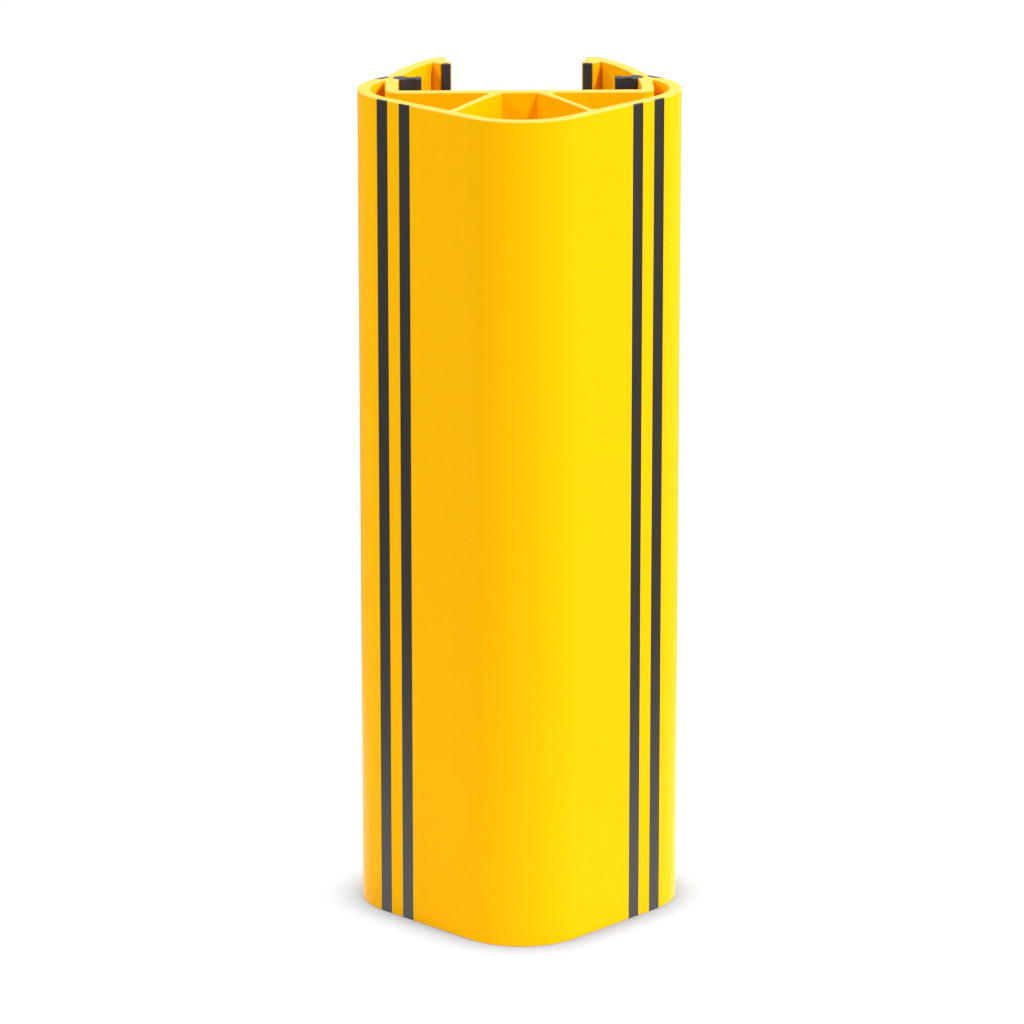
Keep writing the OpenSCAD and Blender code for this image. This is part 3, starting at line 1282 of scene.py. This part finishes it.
@dataclass(frozen=True)
class Stage:
    """Floor, light and camera."""

    lamps: tuple[Softbox, ...] = (
        Softbox("right_panel", 97.0, 28.0, 1.8, 3.4, 1.4, 0.56),
        Softbox("key_softbox", 51.0, 43.0, 3.0, 0.20, 0.20, 0.72),
        Softbox("side_softbox", 95.0, 45.0, 3.0, 0.35, 0.35, 0.25),
        Softbox("rear_softbox", 140.0, 45.0, 3.0, 0.35, 0.35, 0.46),
        Softbox("left_softbox", -56.0, 32.0, 3.0, 0.35, 0.35, 0.34),
        Softbox("left_rear_softbox", -106.0, 43.0, 3.0, 0.20, 0.20, 0.29),
    )
    ambient: float = 0.20
    floor_size: float = 40.0
    # near the guard and far from it: distance, grey, and the glow that the guard's gloss shows, a
    # painted reflection
    floor_reach: tuple[float, float] = (0.12, 0.55)
    floor_grey: tuple[float, float] = (0.86, 0.66)
    floor_reflection_glow: tuple[float, float] = (1.7, 0.4)
    # what the eye sees of the floor: a little true shading over a white glow with a painted shadow
    # at the foot
    floor_shade: float = 0.07
    floor_lift: float = 0.95
    foot_reach: float = 0.024
    foot_shadow_depth: float = 0.50
    foot_fade: float = 1.6
    foot_samples: int = 16
    # what the eye sees of the sky, straight or by a reflection
    backdrop: float = 1.0
    middle: tuple[float, float, float] = (0.0, 0.00235, 0.2)
    azimuth: float = -1.31
    elevation: float = 16.02
    distance: float = 2.8
    sensor: float = 36.0
    lens: float = 205.9
    view_end: float = 100.0
    aim_left: float = 0.0035
    aim_down: float = 0.0066

    def build(self) -> None:
        """Sets up the whole stage."""
        bpy.context.scene.view_settings.view_transform = "Standard"
        self.lay_floor()
        self.light_world()
        for lamp in self.lamps:
            lamp.light(Vector(self.middle))
        self.set_camera()

    def lay_floor(self) -> None:
        """Lays a pale floor that shows white to the eye, with a faint true shadow and a painted
        foot shadow.
        """
        half = self.floor_size / 2
        mesh = bpy.data.meshes.new("floor")
        mesh.from_pydata([(-half, -half, 0), (half, -half, 0), (half, half, 0), (-half, half, 0)],
                         [], [(0, 1, 2, 3)])
        floor = bpy.data.objects.new("floor", mesh)
        bpy.context.scene.collection.objects.link(floor)
        mesh.materials.append(self.floor_finish())

    def floor_finish(self) -> bpy.types.Material:
        """Builds the floor's material.

        Returns:
            A white to the eye with a painted foot shadow over a little true shade, a painted glow
            in the guard's gloss, and a grey card to all other light.
        """
        material = bpy.data.materials.new("floor_white")
        material.use_nodes = True
        bench = Bench(material.node_tree)
        place = bench.add("ShaderNodeTexCoord", output="Object")
        away = bench.add("ShaderNodeVectorMath", {"Vector": place}, "Value", operation="LENGTH")
        near_end, far_end = self.floor_reach
        far = bench.add("ShaderNodeMapRange",
                        {"Value": away, "From Min": near_end, "From Max": far_end}, "Result",
                        interpolation_type="SMOOTHSTEP")
        camera = bench.add("ShaderNodeLightPath", output="Is Camera Ray")
        cast = bench.blend(far, *(bench.matte(grey) for grey in self.floor_grey))
        # painted reflection: to the guard's gloss the floor glows, brighter near the guard, which
        # pales the guard's foot
        gloss = bench.blend(far, *(bench.glow(level) for level in self.floor_reflection_glow))
        unseen = bench.blend(bench.more(camera, "Is Glossy Ray"), cast, gloss)
        open_sky = bench.add("ShaderNodeAmbientOcclusion", {"Distance": self.foot_reach}, "AO",
                             samples=self.foot_samples)
        # painted contact shadow: the white darkens where the sky is hidden, and half of it is
        # hidden right at the foot of a wall
        hidden = ((1 - open_sky) * 2) ** self.foot_fade
        white = bench.mix(hidden * self.foot_shadow_depth, WHITE, BLACK)
        seen = bench.add("ShaderNodeAddShader",
                         {"Shader": bench.matte(self.floor_shade),
                          "Shader_001": bench.glow(self.floor_lift, white)})
        bench.add("ShaderNodeOutputMaterial", {"Surface": bench.blend(camera, unseen, seen)})
        return material

    def light_world(self) -> None:
        """Lights the guard evenly from all round, with white behind it."""
        world = bpy.data.worlds.new("studio")
        bpy.context.scene.world = world
        world.use_nodes = True
        bench = Bench(world.node_tree)
        light, white = (bench.add("ShaderNodeBackground", {"Color": WHITE, "Strength": level})
                        for level in (self.ambient, self.backdrop))
        camera = bench.add("ShaderNodeLightPath", output="Is Camera Ray")
        seen = camera.at_least(bench.more(camera, "Is Glossy Ray"))
        bench.add("ShaderNodeOutputWorld", {"Surface": bench.blend(seen, light, white)})

    def set_camera(self) -> None:
        """Sets the camera where the photograph was taken from."""
        data = bpy.data.cameras.new("camera")
        data.sensor_width = self.sensor
        data.lens = self.lens
        data.clip_end = self.view_end
        away = direction(self.azimuth, self.elevation)
        right = Vector((0, 0, 1)).cross(away).normalized()
        up = away.cross(right)
        middle = Vector(self.middle)
        eye = middle + away * self.distance
        aim = middle - self.aim_left * right - self.aim_down * up
        bpy.context.scene.camera = looking("camera", data, eye, aim)


def main() -> None:
    """Builds the guard and its stage."""
    logging.basicConfig(level=logging.INFO, format="%(message)s")
    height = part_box("guard_body")[1].z
    pieces = RackGuard(SawnExtrusion(height)).build()
    Stage().build()
    LOG.info("%d pieces on body %s", len(pieces), BODY)


if __name__ == "__main__":
    main()
